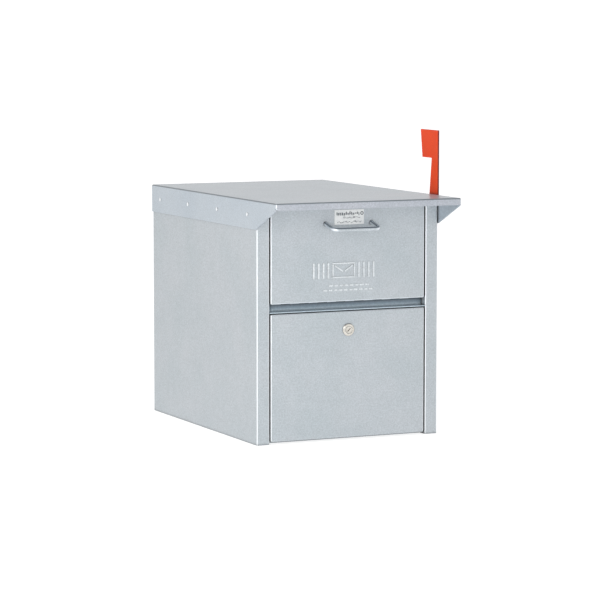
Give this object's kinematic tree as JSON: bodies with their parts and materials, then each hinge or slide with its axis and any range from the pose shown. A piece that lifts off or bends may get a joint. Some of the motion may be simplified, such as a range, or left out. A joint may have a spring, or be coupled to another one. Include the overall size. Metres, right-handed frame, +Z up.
{
  "type": "locking roadside mailbox",
  "caption": "Folded sheet-steel mail chest with a pull-down mail door, a cam-locked lower door, an overhanging hood and a swinging signal flag.",
  "frame": {"origin": "centre of the chest's underside, on the floor pan's lower face", "axes": "+X to the right seen from the front (the flag's side), +Y from the doors to the back, +Z up"},
  "size_m": [0.4097, 0.6384, 0.608],
  "materials": {
    "silver_paint": "silver-grey powder coat, satin",
    "flag_red": "orange-red enamel, semi-gloss",
    "chrome_lock": "bright nickel plate",
    "zinc_steel": "zinc-plated steel",
    "white_nylon": "moulded nylon",
    "black_nylon": "moulded nylon, black",
    "black_rubber": "matt rubber",
    "catch_magnet": "ferrite magnet, matt",
    "label_film": "printed vinyl film"
  },
  "bodies": {
    "cabinet": {"bottom_pan": "silver_paint", "catch_body": "white_nylon", "catch_magnet": "catch_magnet", "cross_rail": "silver_paint", "flag_bolt": "zinc_steel", "flag_nut": "zinc_steel", "flag_stop_pin": "zinc_steel", "flag_washer": "white_nylon", "header_angle": "silver_paint", "hinge_leaf_frame": "silver_paint", "hinge_pin": "zinc_steel", "hood": "silver_paint", "keeper_angle": "silver_paint", "left_rivet_1": "silver_paint", "left_rivet_2": "silver_paint", "left_rivet_3": "silver_paint", "left_rivet_4": "silver_paint", "left_side_panel": "silver_paint", "lower_bumper_left": "black_rubber", "lower_bumper_right": "black_rubber", "mail_chute": "silver_paint", "pivot_pin_left": "zinc_steel", "pivot_pin_right": "zinc_steel", "pivot_washer_left": "black_nylon", "pivot_washer_right": "black_nylon", "rear_panel": "silver_paint", "right_rivet_1": "silver_paint", "right_rivet_2": "silver_paint", "right_rivet_3": "silver_paint", "right_side_panel": "silver_paint", "upper_bumper_left": "black_rubber", "upper_bumper_right": "black_rubber"},
    "mail_door": {"upper_door": "silver_paint", "hinge_leaf_door": "silver_paint", "pull_handle": "silver_paint", "handle_screw_left": "zinc_steel", "handle_screw_right": "zinc_steel", "strike_bracket": "zinc_steel", "label": "label_film"},
    "lower_door": {"lower_door": "silver_paint", "lock_body": "chrome_lock", "lock_nut": "zinc_steel"},
    "lock_cam": {"lock_plug": "chrome_lock", "lock_cam": "zinc_steel", "cam_screw": "zinc_steel"},
    "flag": {"signal_flag": "flag_red"}
  },
  "joints": [
    {"name": "mail_door_hinge", "type": "hinge", "parent": "cabinet", "child": "mail_door", "pos_m": [0, -0.2543, 0.2762], "axis": [1, 0, 0], "range_deg": [0, 90]},
    {"name": "lower_door_hinge", "type": "hinge", "parent": "cabinet", "child": "lower_door", "pos_m": [0, -0.262, 0.0125], "axis": [1, 0, 0], "range_deg": [0, 90]},
    {"name": "lock_turn", "type": "hinge", "parent": "lower_door", "child": "lock_cam", "pos_m": [0, -0.27, 0.219], "axis": [0, 1, 0], "range_deg": [0, 90]},
    {"name": "flag_pivot", "type": "hinge", "parent": "cabinet", "child": "flag", "pos_m": [0.2031, -0.241, 0.446], "axis": [-1, 0, 0], "range_deg": [0, 90]}
  ]
}
